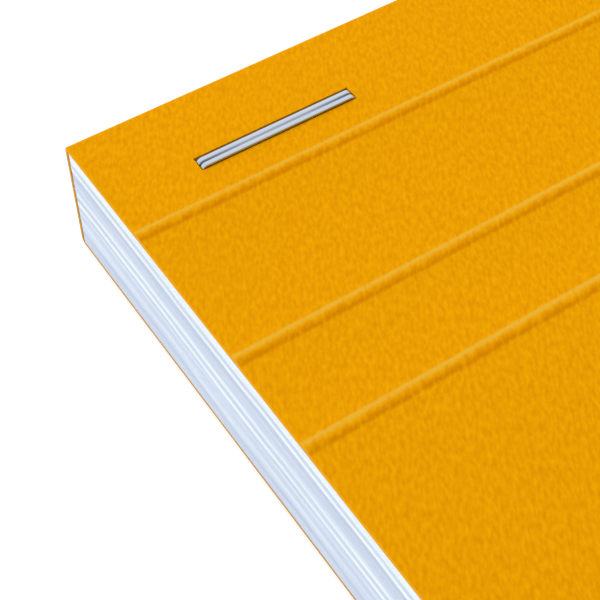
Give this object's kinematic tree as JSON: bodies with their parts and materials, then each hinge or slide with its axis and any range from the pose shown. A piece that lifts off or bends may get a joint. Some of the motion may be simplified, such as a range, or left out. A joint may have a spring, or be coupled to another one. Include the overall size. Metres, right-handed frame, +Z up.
{
  "type": "pocket notebook",
  "caption": "Pocket notebook stapled at its head, with an amber card cover that folds back over the head along raised beads, and a block of plain white sheets.",
  "frame": {"origin": "on the surface that the pad lies on, under the centre of its closed outline", "axes": "+X along the head to the right as the cover is read, +Y from the foot to the stapled head, +Z up out of the front cover"},
  "size_m": [0.085, 0.12, 0.0103],
  "materials": {
    "cover_card": "uncoated fibrous amber card, matt",
    "white_sheets": "smooth white writing paper, cut edges",
    "staple_wire": "bright drawn flat steel wire"
  },
  "bodies": {
    "pad": {"cover_wrap": "cover_card", "page_block": "white_sheets", "staple_left": "staple_wire", "staple_right": "staple_wire"},
    "upper_panel": {"upper_panel": "cover_card"},
    "lower_panel": {"lower_panel": "cover_card"},
    "front_flap": {"front_flap": "cover_card"}
  },
  "joints": [
    {"name": "first_fold", "type": "hinge", "parent": "pad", "child": "upper_panel", "pos_m": [0, 0.04965, 0.01029], "axis": [-1, 0, 0], "range_deg": [0, 179]},
    {"name": "second_fold", "type": "hinge", "parent": "upper_panel", "child": "lower_panel", "pos_m": [0, 0.03737, 0.01029], "axis": [-1, 0, 0], "range_deg": [0, 90]},
    {"name": "third_fold", "type": "hinge", "parent": "lower_panel", "child": "front_flap", "pos_m": [0, 0.02969, 0.01029], "axis": [-1, 0, 0], "range_deg": [0, 40]}
  ]
}
